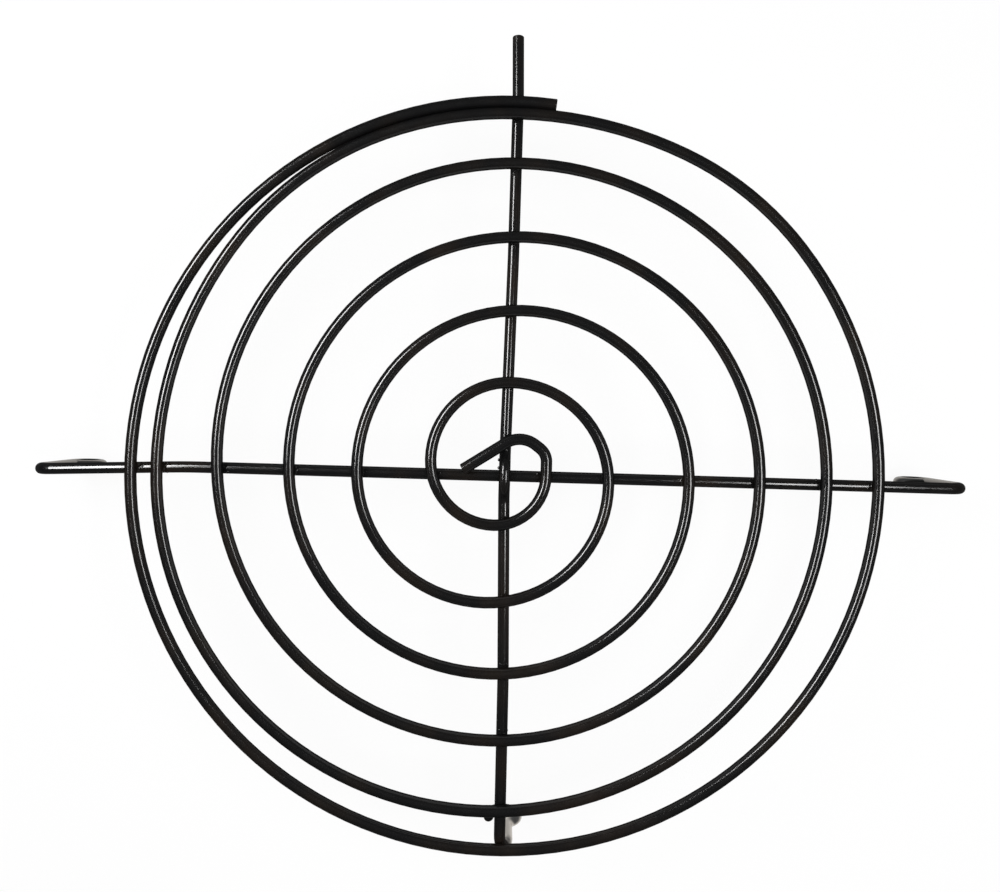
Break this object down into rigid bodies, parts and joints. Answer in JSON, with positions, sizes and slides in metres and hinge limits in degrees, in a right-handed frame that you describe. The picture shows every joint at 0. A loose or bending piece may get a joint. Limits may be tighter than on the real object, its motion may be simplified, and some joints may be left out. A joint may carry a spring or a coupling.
{
  "type": "spiral wire fan guard",
  "caption": "Round fan guard of coiled black wire on crossed wires, with wire legs bent back to screw eyes and a straight stub at the top.",
  "frame": {"origin": "on the outer ring's axis, in the plane that the three eyes stand on, which is the face of the fan housing", "axes": "+Z out of the guard's face, away from the fan; +Y up the upright wire towards its stub; +X to the right, seen from the face"},
  "size_m": [0.3466, 0.3016, 0.0416],
  "materials": {
    "black_coating": "semi-gloss black coating on steel wire"
  },
  "bodies": {
    "root": {"spiral_wire": "black_coating", "upright_wire": "black_coating", "cross_wire": "black_coating"}
  },
  "joints": []
}
